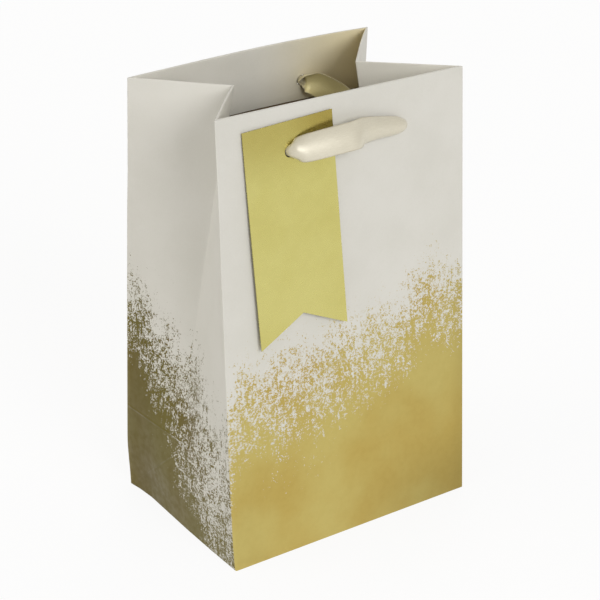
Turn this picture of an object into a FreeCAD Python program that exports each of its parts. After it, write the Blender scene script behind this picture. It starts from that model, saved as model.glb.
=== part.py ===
"""Small paper gift bag with satin ribbon handles and a swallowtail gift tag.

Millimetres, +Z up, +X to the right along the front panel, +Y to the back.  The origin is on the floor
under the middle of the bag.  The bag is one printed sheet, folded and glued.  It is written here as one
node for each flat between two creases, with the boards, ribbons and tag that are fitted to it.
"""

import FreeCAD, Part
import math
import os

Vector = FreeCAD.Vector

# ---- folded sheet ----------------------------------------------------------------------------------
paper = 0.3                 # laminated printed sheet
panel_width = 126.0         # front and back panels
foot_depth = 91.0           # front to back on the floor, and the paper width of each gusset
mouth_depth = 67.0          # front to back between the top edges
bag_height = 200.0
crease_height = 43.0        # cross crease of the flat-folded base, and the meeting point of the Y creases
crease_inset = 1.0          # how far the gusset crease stands in at the cross crease
hem_depth = 28.5            # top edge turned in and glued down
glue_line = 0.05            # between two glued layers
twist_gap = 0.2             # between a gusset and its turned-in edge, where the paper twists
hem_corner_gap = 0.8        # between the turned-in edges at the four upright corners
long_flap = 58.0            # bottom flaps of the front and back panels
side_flap = 40.0            # bottom flaps of the gussets
seam_width = 15.0           # glue flap inside the front left corner
seam_end_gap = 1.0          # from the glue flap to the hem, the base board and the gusset

# ---- boards ----------------------------------------------------------------------------------------
hem_board = 0.8             # thickness of the strips inside the front and back hems
hem_board_height = 24.0
hem_board_end_gap = 4.0     # from each end of a strip to the corner of the bag
base_board = 1.0            # thickness of the stiffener on the bottom flaps
base_board_gap = 1.2        # from the stiffener to the walls

# ---- holes and ribbons -----------------------------------------------------------------------------
hole_spacing = 57.0
hole_drop = 19.0            # from the top edge to the hole centres
hole_radius = 2.5
ribbon_width = 12.0
ribbon = 0.4                # thickness
neck_radius = 1.8           # ribbon gathered in a hole
roll_radius = 1.2           # ribbon gathered outside a hole, where it turns along the panel
roll_length = 3.0
running_gap = 0.3           # between a moving piece and what it moves past
handle_bow = 5.0            # how far the middle of a handle stands out from its holes
handle_rise = 2.5           # how far the middle of a handle stands above its holes
handle_tip = 1.0            # half of a handle's height where it leaves its gathered rolls
left_opening = 3.0          # power by which a handle opens to its full width from its left end
right_opening = 6.0         # the same from its right end, where it opens faster
handle_steps = 16
tail_drop = 68.0            # from a hole down to its knot
tail_shoulder = 18.0        # length over which a hanging tail opens to its full width
tail_gap = 0.5              # from a hanging tail to the hem
knot_radius = 4.5
knot_height = 8.0
knot_round = 2.0
knot_waist = 5.0            # width of the ribbon where it enters and leaves a knot
cut_end = 12.0              # ribbon below a knot
tail_turn_right = 14.0      # the back right tail runs aside before it drops
tail_turn_forward = 11.0
tail_turn_down = 7.5

# ---- gift tag --------------------------------------------------------------------------------------
tag_width = 44.0
tag_length = 94.0
tag_notch = 11.0            # depth of the swallowtail
tag_card = 0.4
tag_hole_drop = 12.7        # from the tag's top edge to its hole
tag_standoff = 0.8          # from the panel to the tag, at the hole
tag_lean = 1.0              # degrees that the tag's lower end stands off the panel
tag_turn = 2.4              # degrees that the tag hangs to the right of plumb

# ---- derived ---------------------------------------------------------------------------------------
half_width = panel_width / 2
half_gusset = foot_depth / 2
half_mouth = mouth_depth / 2
lean = math.atan((half_gusset - half_mouth) / bag_height)
mouth_inset = math.sqrt(half_gusset ** 2 - half_mouth ** 2)
base_stack = 3 * (paper + glue_line) + base_board
hem_layers = 2 * paper + hem_board + 2 * glue_line
hole_height = bag_height - hole_drop
half_spacing = hole_spacing / 2
tag_layers = tag_standoff + tag_card + running_gap
FRONT, BACK = -1, 1
LEFT, RIGHT = -1, 1


def face_of(a, b, c, d=None):
    """Return the face on three or four corners: flat where it can be, otherwise a ruled one."""
    if d is None:
        return Part.Face(Part.makePolygon([a, b, c, a]))
    normal = (b - a).cross(c - a)
    if normal.Length > 0 and abs((d - a).dot(normal.normalize())) < 1e-7:
        return Part.Face(Part.makePolygon([a, b, c, d, a]))
    return Part.makeRuledSurface(Part.makeLine(a, b), Part.makeLine(d, c))


def closed_solid(faces):
    """Return the solid inside a set of faces that meet edge to edge."""
    shell = Part.makeShell(faces)
    shell.sewShape()
    solid = Part.makeSolid(shell)
    if solid.Volume < 0:
        solid.reverse()
    return solid


def chain(sections):
    """Return the solid that joins sections of the same corner count, in their order, with ruled faces."""
    faces = [face_of(*sections[0]), face_of(*sections[-1])]
    for here, there in zip(sections, sections[1:]):
        for i in range(len(here)):
            j = (i + 1) % len(here)
            faces.append(face_of(here[i], here[j], there[j], there[i]))
    return closed_solid(faces)


def wall_y(side, z, inward=0.0):
    """Return y of the front or back wall at a height, and a distance in from its outer face."""
    return side * (half_gusset - z * math.tan(lean) - inward / math.cos(lean))


def wall_slab(side, x0, x1, z0, z1, outer, inner):
    """Return a layer of the front or back wall, between two depths below its outer face."""
    sections = []
    for z in (z0, z1):
        near, far = wall_y(side, z, outer), wall_y(side, z, inner)
        sections.append([Vector(x0, near, z), Vector(x1, near, z), Vector(x1, far, z), Vector(x0, far, z)])
    return chain(sections)


def wall_point(side, x, out, up):
    """Return a point given by its place from the middle of the two holes of the front or back wall."""
    origin = Vector(0, wall_y(side, hole_height), hole_height)
    outward = Vector(0, side * math.cos(lean), math.sin(lean))
    upward = Vector(0, -side * math.sin(lean), math.cos(lean))
    return origin + Vector(x, 0, 0) + outward * out + upward * up


def outward_of(side):
    """Return the direction that the front or back wall faces."""
    return Vector(0, side * math.cos(lean), math.sin(lean))


def bored(shape, side):
    """Return a layer of a wall with the two handle holes punched through it."""
    for x in (-half_spacing, half_spacing):
        start = wall_point(side, x, hem_layers, 0)
        shape = shape.cut(Part.makeCylinder(hole_radius, 3 * hem_layers, start, outward_of(side) * -1))
    return shape


def crease_in(z):
    """Return how far the gusset's centre crease stands in from the side of the bag at a height."""
    if z <= crease_height:
        return crease_inset * z / crease_height
    share = (z - crease_height) / (bag_height - crease_height)
    return crease_inset + share * (mouth_inset - crease_inset)


def gusset_point(side, half, z, clear, depth, crease):
    """Return a point of a gusset half at a height.

    It lies at the centre crease, or at the upright edge a distance clear of the outer face of the front or
    back wall, and at a depth below the gusset's outer face.
    """
    edge = abs(wall_y(half, z, clear))
    inset = crease_in(z)
    sloped = depth * math.hypot(inset, abs(wall_y(half, z))) / abs(wall_y(half, z))
    if crease:
        return Vector(side * (half_width - inset - sloped), 0, z)
    share = 1 - edge / abs(wall_y(half, z, paper))
    return Vector(side * (half_width - share * inset - sloped), half * edge, z)


def gusset_slab(side, half, z0, z1, clear, outer, inner):
    """Return a layer of one half of a gusset between two heights above the cross crease."""
    sections = []
    for z in (z0, z1):
        sections.append([gusset_point(side, half, z, clear, outer, False),
                         gusset_point(side, half, z, clear, outer, True),
                         gusset_point(side, half, z, clear, inner, True),
                         gusset_point(side, half, z, clear, inner, False)])
    return chain(sections)


def foot_corner(side, half, depth):
    """Return the bottom corner of a gusset, against the inner face of the front or back wall."""
    return Vector(side * (half_width - depth), wall_y(half, 0, paper), 0)


def gusset_corner(side, half):
    """Return the small triangle between a gusset's diagonal crease and its cross crease."""
    sections = []
    for depth in (0, paper):
        sections.append([foot_corner(side, half, depth),
                         gusset_point(side, half, crease_height, paper, depth, False),
                         gusset_point(side, half, crease_height, paper, depth, True)])
    return chain(sections)


def gusset_foot(side):
    """Return the triangle of a gusset between its two diagonal creases and the floor."""
    sections = []
    for depth in (0, paper):
        sections.append([foot_corner(side, FRONT, depth),
                         foot_corner(side, BACK, depth),
                         gusset_point(side, FRONT, crease_height, paper, depth, True)])
    return chain(sections)


def hem(side):
    """Return the turned-in edge of the front or back panel, with the fold that covers its board."""
    end = half_width - hem_board_end_gap + glue_line
    low = bag_height - hem_depth
    inner = wall_slab(side, -end, end, low, bag_height, hem_layers - paper, hem_layers)
    fold = wall_slab(side, -end, end, bag_height - paper, bag_height, paper, hem_layers)
    return bored(inner.fuse(fold).removeSplitter(), side)


def handle(side, axis_out):
    """Return the outside stretch of a handle ribbon.

    It leaves a gathered roll at each hole, opens to its full width and bows out and up between them.  Its
    left end opens slowly, like a leaf, and its right end quickly.
    """
    stretch = half_spacing - roll_length / 2
    sections = []
    for i in range(handle_steps + 1):
        along = -1 + 2 * i / handle_steps
        power = left_opening if along < 0 else right_opening
        half_height = handle_tip + (ribbon_width / 2 - handle_tip) * (1 - abs(along) ** power)
        out = axis_out + handle_bow * (1 - along ** 2)
        rise = handle_rise * (1 - along ** 2)
        corners = [(-0.5, -1), (0.5, -1), (0.5, 1), (-0.5, 1)]
        sections.append([wall_point(side, along * stretch, out + ribbon * a, rise + half_height * b)
                         for a, b in corners])
    shape = chain(sections)
    for end in (-1, 1):
        start = wall_point(side, end * half_spacing - roll_length / 2, axis_out, 0)
        shape = shape.fuse(Part.makeCylinder(roll_radius, roll_length, start, Vector(1, 0, 0)))
    return shape.removeSplitter()


def strip(points, widths, across):
    """Return a ribbon through level points, with its width across one direction and its thickness in Y."""
    sections = []
    for point, width in zip(points, widths):
        wide = across * (width / 2)
        thick = Vector(0, ribbon / 2, 0)
        sections.append([point - wide - thick, point + wide - thick, point + wide + thick,
                         point - wide + thick])
    return chain(sections)


def neck(side, x, axis_out):
    """Return the gathered ribbon inside a hole, from the tail to the roll outside."""
    inner = wall_point(side, x, -(hem_layers + tail_gap + ribbon / 2), 0)
    length = hem_layers + tail_gap + ribbon / 2 + axis_out - roll_radius - running_gap
    return Part.makeCylinder(neck_radius, length, inner, outward_of(side))


def tail_foot(side, x):
    """Return the end of a hanging tail, where its knot starts."""
    head = wall_point(side, x, -(hem_layers + tail_gap + ribbon / 2), 0)
    return Vector(head.x, head.y, head.z - tail_drop)


def hanging_tail(side, x, axis_out):
    """Return a ribbon end that comes in through a hole and hangs straight down to its knot."""
    head = wall_point(side, x, -(hem_layers + tail_gap + ribbon / 2), 0)
    drops = [-neck_radius, 0, tail_shoulder, tail_drop - tail_shoulder, tail_drop]
    widths = [2 * neck_radius, 2 * neck_radius, ribbon_width, ribbon_width, knot_waist]
    points = [Vector(head.x, head.y, head.z - drop) for drop in drops]
    return strip(points, widths, Vector(1, 0, 0)).fuse(neck(side, x, axis_out)).removeSplitter()


def turned_foot():
    """Return the end of the back right tail, where its knot starts."""
    foot = tail_foot(BACK, half_spacing)
    return foot + Vector(tail_turn_right, -tail_turn_forward, -tail_turn_down)


def turned_tail(axis_out):
    """Return the back right ribbon end, which runs aside into the gusset's pocket and drops there."""
    head = tail_foot(BACK, half_spacing) + Vector(0, 0, tail_drop)
    foot = turned_foot()
    elbow = foot + Vector(0, 0, tail_drop)
    upright = Vector(0, 0, 1)
    aside = Vector(tail_turn_right, -tail_turn_forward, 0).normalize()
    thick = aside.cross(upright) * (ribbon / 2)
    sections = []
    for point, half in ((head, neck_radius), (elbow, ribbon_width / 2)):
        sections.append([point - upright * half - thick, point + upright * half - thick,
                         point + upright * half + thick, point - upright * half + thick])
    top = elbow + upright * (ribbon_width / 2)
    drop = []
    for point, width in ((top, ribbon_width), (foot + upright * tail_shoulder, ribbon_width),
                         (foot, knot_waist)):
        wide = aside * (width / 2)
        drop.append([point - wide - thick, point + wide - thick, point + wide + thick,
                     point - wide + thick])
    shape = chain(sections).fuse(chain(drop))
    return shape.fuse(neck(BACK, half_spacing, axis_out)).removeSplitter()


def knot(foot):
    """Return an overhand knot with the cut end of the ribbon below it."""
    barrel = Part.makeCylinder(knot_radius, knot_height, foot - Vector(0, 0, knot_height))
    barrel = barrel.makeFillet(knot_round, [e for e in barrel.Edges if e.Closed and len(e.Vertexes) == 1])
    low = foot - Vector(0, 0, knot_height)
    end = strip([low + Vector(0, 0, knot_round), low - Vector(0, 0, cut_end)], [knot_waist, ribbon_width],
                Vector(1, 0, 0))
    return barrel.fuse(end).removeSplitter()


def floor_slab(x0, x1, y0, y1, layer, thickness=paper):
    """Return a flat piece of the bottom, on top of a number of glued flaps."""
    z = layer * (paper + glue_line)
    return Part.makeBox(x1 - x0, y1 - y0, thickness, Vector(x0, y0, z))


def tag_axes():
    """Return the outward and upward directions of the gift tag, which leans off the panel."""
    turn = FreeCAD.Rotation(Vector(1, 0, 0), -tag_lean)
    return turn.multVec(outward_of(FRONT)), turn.multVec(Vector(0, math.sin(lean), math.cos(lean)))


def gift_tag():
    """Return the tag: a card with a swallowtail lower end, hung on the ribbon by one hole."""
    outward, upward = tag_axes()
    centre = wall_point(FRONT, -half_spacing, tag_standoff, 0)
    turn = math.radians(tag_turn)
    across = Vector(1, 0, 0) * math.cos(turn) + upward * math.sin(turn)
    along = upward * math.cos(turn) - Vector(1, 0, 0) * math.sin(turn)
    top, low, half = tag_hole_drop, tag_hole_drop - tag_length, tag_width / 2
    outline = [(-half, top), (-half, low), (0, low + tag_notch), (half, low), (half, top)]
    corners = [centre + across * x + along * h for x, h in outline]
    card = Part.Face(Part.makePolygon(corners + corners[:1])).extrude(outward * tag_card)
    return card.cut(Part.makeCylinder(hole_radius, 3 * tag_card, centre - outward * tag_card, outward))


def sheet_pieces():
    """Return the flats of the folded sheet, by name."""
    pieces = {}
    hem_low = bag_height - hem_depth
    for side, name in ((FRONT, "front"), (BACK, "back")):
        panel = wall_slab(side, -half_width, half_width, 0, bag_height, 0, paper)
        pieces[name + "_panel"] = bored(panel, side)
        pieces[name + "_hem"] = hem(side)
    for side, name in ((LEFT, "left"), (RIGHT, "right")):
        pieces[name + "_gusset_foot"] = gusset_foot(side)
        for half, where in ((FRONT, "front"), (BACK, "back")):
            pieces[name + "_gusset_" + where] = gusset_slab(side, half, crease_height, bag_height, paper,
                                                            0, paper)
            pieces[name + "_gusset_corner_" + where] = gusset_corner(side, half)
            pieces[name + "_hem_" + where] = gusset_slab(side, half, hem_low, bag_height,
                                                         hem_layers + hem_corner_gap,
                                                         paper + twist_gap, 2 * paper + twist_gap)
    across = abs(gusset_point(LEFT, FRONT, base_stack, paper, paper + glue_line, True).x)
    along = abs(wall_y(FRONT, base_stack, paper + glue_line))
    pieces["bottom_flap_back"] = floor_slab(-across, across, along - long_flap, along, 0)
    pieces["bottom_flap_front"] = floor_slab(-across, across, -along, long_flap - along, 1)
    pieces["bottom_flap_left"] = floor_slab(-across, side_flap - across, -along, along, 2)
    pieces["bottom_flap_right"] = floor_slab(across - side_flap, across, -along, along, 2)
    seam_end = half_width - paper - seam_end_gap
    pieces["seam_flap"] = wall_slab(FRONT, -seam_end, seam_width - seam_end, base_stack + seam_end_gap,
                                    hem_low - seam_end_gap, paper + glue_line, 2 * paper + glue_line)
    return pieces


def board_pieces():
    """Return the boards that stiffen the mouth and the bottom, by name."""
    pieces = {}
    end = half_width - hem_board_end_gap
    top = bag_height - paper - glue_line
    outer = paper + glue_line
    for side, name in ((FRONT, "front"), (BACK, "back")):
        board = wall_slab(side, -end, end, top - hem_board_height, top, outer, outer + hem_board)
        pieces[name + "_top_board"] = bored(board, side)
    across = half_width - paper - base_board_gap
    along = half_gusset - paper - base_board_gap
    pieces["base_board"] = floor_slab(-across, across, -along, along, 3, base_board)
    return pieces


def ribbon_pieces():
    """Return the two handle ribbons, their ends inside the bag and the knots, by name."""
    pieces = {}
    for side, name, axis_out in ((FRONT, "front", tag_layers + roll_radius),
                                 (BACK, "back", running_gap + roll_radius)):
        pieces[name + "_handle"] = handle(side, axis_out)
        for x, end in ((-half_spacing, "left"), (half_spacing, "right")):
            if (side, x) == (BACK, half_spacing):
                pieces["back_right_tail"] = turned_tail(axis_out)
                pieces["back_right_knot"] = knot(turned_foot())
            else:
                pieces[name + "_" + end + "_tail"] = hanging_tail(side, x, axis_out)
                pieces[name + "_" + end + "_knot"] = knot(tail_foot(side, x))
    return pieces


def main():
    """Write one STEP file for each piece."""
    os.makedirs("parts", exist_ok=True)
    pieces = {**sheet_pieces(), **board_pieces(), **ribbon_pieces(), "gift_tag": gift_tag()}
    for name, shape in pieces.items():
        solid = shape.Solids[0]
        if len(shape.Solids) != 1 or not solid.isValid() or not solid.isClosed():
            raise ValueError(name + " is not one closed solid")
        solid.exportStep("parts/" + name + ".step")
        print(name, round(solid.Volume, 1))
    front_axis = wall_point(FRONT, 0, tag_layers + roll_radius, 0)
    back_axis = wall_point(BACK, 0, running_gap + roll_radius, 0)
    print("front handle axis", front_axis, "back handle axis", back_axis)
    print("tag axis", wall_point(FRONT, -half_spacing, tag_standoff, 0), tag_axes()[0])


main()
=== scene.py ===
import logging
import math
from dataclasses import astuple, dataclass
from enum import Enum

import bpy
import numpy as np
from mathutils import Matrix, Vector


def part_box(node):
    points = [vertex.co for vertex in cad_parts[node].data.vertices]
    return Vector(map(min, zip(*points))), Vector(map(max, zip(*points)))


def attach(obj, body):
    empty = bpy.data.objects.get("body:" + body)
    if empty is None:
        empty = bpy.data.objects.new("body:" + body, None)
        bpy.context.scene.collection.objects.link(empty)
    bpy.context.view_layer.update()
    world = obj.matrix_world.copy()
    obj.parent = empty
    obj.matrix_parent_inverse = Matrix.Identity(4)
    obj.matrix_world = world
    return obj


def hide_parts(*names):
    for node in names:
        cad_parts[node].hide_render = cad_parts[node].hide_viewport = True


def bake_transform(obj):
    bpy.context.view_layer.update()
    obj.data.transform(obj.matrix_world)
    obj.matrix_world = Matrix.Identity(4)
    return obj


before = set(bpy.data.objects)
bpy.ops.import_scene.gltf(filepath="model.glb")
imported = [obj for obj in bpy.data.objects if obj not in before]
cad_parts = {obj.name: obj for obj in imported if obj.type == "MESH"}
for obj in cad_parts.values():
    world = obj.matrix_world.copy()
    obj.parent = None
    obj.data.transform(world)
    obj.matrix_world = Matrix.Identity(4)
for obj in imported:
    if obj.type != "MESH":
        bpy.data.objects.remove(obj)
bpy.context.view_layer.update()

LOG = logging.getLogger("gift_bag")
MM = 0.001
SHARP = math.radians(38)  # folds sharper than this are shaded as edges
CUTTER = 12 * MM  # length of the cutters that punch the holes
ROUND = 0.434  # length of the sheet round the bag, from the front left fold


class Side(Enum):
    """The wall that a ribbon or a board belongs to, by the sign of the way it faces along Y."""

    FRONT = -1
    BACK = 1


class End(Enum):
    """The end of a ribbon, by the sign of its hole along X."""

    LEFT = -1
    RIGHT = 1


# ---- Mesh helpers ------------------------------------------------


def grid_quads(rows: int, columns: int, wrap_rows: bool = False, wrap_columns: bool = False) -> np.ndarray:
    """Join a grid of points into quads.

    Args:
        rows: Number of points down the grid.
        columns: Number of points along each row.
        wrap_rows: Whether the last row joins the first.
        wrap_columns: Whether the last column joins the first.

    Returns:
        An array of four point indices per quad, in an order that turns from columns to rows.
    """
    row = np.arange(rows if wrap_rows else rows - 1)[:, None]
    column = np.arange(columns if wrap_columns else columns - 1)[None, :]
    below, beside = (row + 1) % rows, (column + 1) % columns
    here, under = row * columns, below * columns
    corners = [here + column, here + beside, under + beside, under + column]
    return np.stack([np.broadcast_to(c, (row.size, column.size)) for c in corners], -1).reshape(-1, 4)


def build_object(name: str, points: np.ndarray, faces: np.ndarray, uv: np.ndarray = None,
                 marks: dict = None) -> bpy.types.Object:
    """Make a mesh object at the origin from arrays.

    Args:
        name: The piece's name.
        points: Points in metres, one row each.
        faces: Point indices, one row per face.
        uv: Two flat coordinates per point, or nothing.
        marks: Named values per point, which materials read as attributes.

    Returns:
        The linked object, smooth shaded.
    """
    mesh = bpy.data.meshes.new(name)
    mesh.from_pydata(points.reshape(-1, 3).tolist(), [], faces.tolist())
    mesh.polygons.foreach_set("use_smooth", np.ones(len(mesh.polygons), bool))
    if uv is not None:
        layer = mesh.uv_layers.new(name="flat")
        corner_points = np.empty(len(mesh.loops), np.int64)
        mesh.loops.foreach_get("vertex_index", corner_points)
        layer.data.foreach_set("uv", uv.reshape(-1, 2)[corner_points].ravel().astype(np.float32))
    for mark, values in (marks or {}).items():
        attribute = mesh.attributes.new(mark, "FLOAT", "POINT")
        attribute.data.foreach_set("value", values.ravel().astype(np.float32))
    mesh.update()
    piece = bpy.data.objects.new(name, mesh)
    bpy.context.scene.collection.objects.link(piece)
    return piece


def apply_modifiers(piece: bpy.types.Object) -> None:
    """Turn a piece's live modifiers into mesh.

    Args:
        piece: The object whose modifiers are applied.
    """
    depsgraph = bpy.context.evaluated_depsgraph_get()
    mesh = bpy.data.meshes.new_from_object(piece.evaluated_get(depsgraph), preserve_all_data_layers=True,
                                           depsgraph=depsgraph)
    piece.modifiers.clear()
    piece.data = mesh


def thicken(piece: bpy.types.Object, thickness: float, offset: float = 0.0, even: bool = True) -> None:
    """Give a surface its thickness.

    Args:
        piece: The surface to thicken.
        thickness: Wall thickness in metres.
        offset: Where the surface lies in the wall: -1 outside, 0 middle, 1 inside.
        even: Whether corners are mitred, which a tightly curled surface can't take.
    """
    solidify = piece.modifiers.new("thickness", "SOLIDIFY")
    solidify.thickness = thickness
    solidify.offset = offset
    solidify.use_even_offset = even
    apply_modifiers(piece)


def punch(piece: bpy.types.Object, holes: list, radius: float, length: float) -> None:
    """Cut round holes through a closed piece.

    Args:
        piece: The piece to cut.
        holes: A centre and a direction for each hole, both in metres.
        radius: Radius of the holes.
        length: Length of each cutter, centred on its hole.
    """
    sides = 48
    angle = np.linspace(0, 2 * np.pi, sides, endpoint=False)
    points, faces = [], []
    for i, (centre, direction) in enumerate(holes):
        side = np.cross(direction, [1.0, 0.0, 0.0])
        side = side / np.linalg.norm(side)
        across = np.cross(direction, side)
        ring = radius * (np.cos(angle)[:, None] * side + np.sin(angle)[:, None] * across)
        points += [centre - direction * length / 2 + ring, centre + direction * length / 2 + ring]
        first = 2 * sides * i
        faces += (grid_quads(2, sides, wrap_columns=True) + first).tolist()
        faces += [list(range(first, first + sides))[::-1], list(range(first + sides, first + 2 * sides))]
    mesh = bpy.data.meshes.new("punch")
    mesh.from_pydata(np.concatenate(points).tolist(), [], faces)
    cutter = bpy.data.objects.new("punch", mesh)
    bpy.context.scene.collection.objects.link(cutter)
    cut = piece.modifiers.new("holes", "BOOLEAN")
    cut.operation = "DIFFERENCE"
    cut.solver = "EXACT"
    cut.object = cutter
    apply_modifiers(piece)
    bpy.data.objects.remove(cutter)
    bpy.data.meshes.remove(mesh)


def smooth_step(low: float, high: float, x: np.ndarray) -> np.ndarray:
    """Return 0 below low, 1 above high, and a smooth cubic rise between them."""
    t = np.clip((x - low) / (high - low), 0, 1)
    return t * t * (3 - 2 * t)


def spline(knots: np.ndarray, count: int) -> np.ndarray:
    """Sample a smooth curve that passes through every knot.

    Each stretch between two knots is a cubic whose end slopes are half the step between the knots on either
    side, so position and slope run on unbroken.

    Args:
        knots: One row of values per knot.
        count: Number of samples over the whole curve.

    Returns:
        The samples, one row each.
    """
    knots = np.asarray(knots, float)
    padded = np.vstack([2 * knots[0] - knots[1], knots, 2 * knots[-1] - knots[-2]])
    along = np.linspace(0, len(knots) - 1, count)
    start = np.minimum(along.astype(int), len(knots) - 2)
    t = (along - start)[:, None]
    before, here, there, after = (padded[start + i] for i in range(4))
    return 0.5 * (2 * here + (there - before) * t + (2 * before - 5 * here + 4 * there - after) * t ** 2
                  + (3 * here - before - 3 * there + after) * t ** 3)


# ---- Sizes -------------------------------------------------------


@dataclass(frozen=True)
class BagSizes:
    """The folded bag's sizes in metres, as the frame holds them."""

    width: float
    foot: float
    height: float
    mouth: float
    paper: float = 0.3 * MM
    panel_rim: float = 1.5 * MM
    gusset_rim: float = 0.9 * MM
    board: float = 0.8 * MM
    seam: float = 15 * MM
    hem: float = 28.5 * MM
    crease: float = 43 * MM
    crease_inset: float = 1.0 * MM
    hole_drop: float = 19 * MM
    hole_spacing: float = 57 * MM
    hole_radius: float = 2.5 * MM

    @classmethod
    def from_frame(cls) -> "BagSizes":
        """Read the outer sizes from the frame's front and back panels."""
        low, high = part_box("front_panel")
        back_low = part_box("back_panel")[0]
        return cls(width=high.x - low.x, foot=-2 * low.y, height=high.z, mouth=2 * back_low.y + 2 * cls.paper)

    @property
    def lean(self) -> float:
        """Angle in radians by which the front and back panels lean in."""
        return math.atan((self.foot - self.mouth) / 2 / self.height)

    @property
    def mouth_inset(self) -> float:
        """How far the gusset's centre crease stands in at the mouth, from the paper's fixed width."""
        return math.sqrt((self.foot / 2) ** 2 - (self.mouth / 2) ** 2)

    def wall_point(self, side: Side, x: float, out: float, up: float) -> np.ndarray:
        """Place a point by the front or back wall.

        Args:
            side: The wall.
            x: Distance from the middle of the wall.
            out: Distance out from the wall's outer face.
            up: Distance up the wall from its holes.

        Returns:
            The point in the frame.
        """
        height = self.height - self.hole_drop
        y = self.foot / 2 - height * math.tan(self.lean)
        return (np.array([x, side.value * y, height]) + out * self.outward(side) + up * self.upward(side))

    def outward(self, side: Side) -> np.ndarray:
        """Return the direction that a wall faces."""
        return np.array([0.0, side.value * math.cos(self.lean), math.sin(self.lean)])

    def upward(self, side: Side) -> np.ndarray:
        """Return the direction up a leaning wall."""
        return np.array([0.0, -side.value * math.sin(self.lean), math.cos(self.lean)])


# ---- The folded sheet --------------------------------------------


@dataclass(frozen=True)
class SheetGrid:
    """How finely the folded sheet is divided."""

    panel_columns: int = 62
    gusset_columns: int = 24
    fold_columns: int = 5
    rows: int = 98
    fold: float = 0.8 * MM
    rim_rows: int = 9
    rim_round: float = 0.4 * MM


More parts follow.
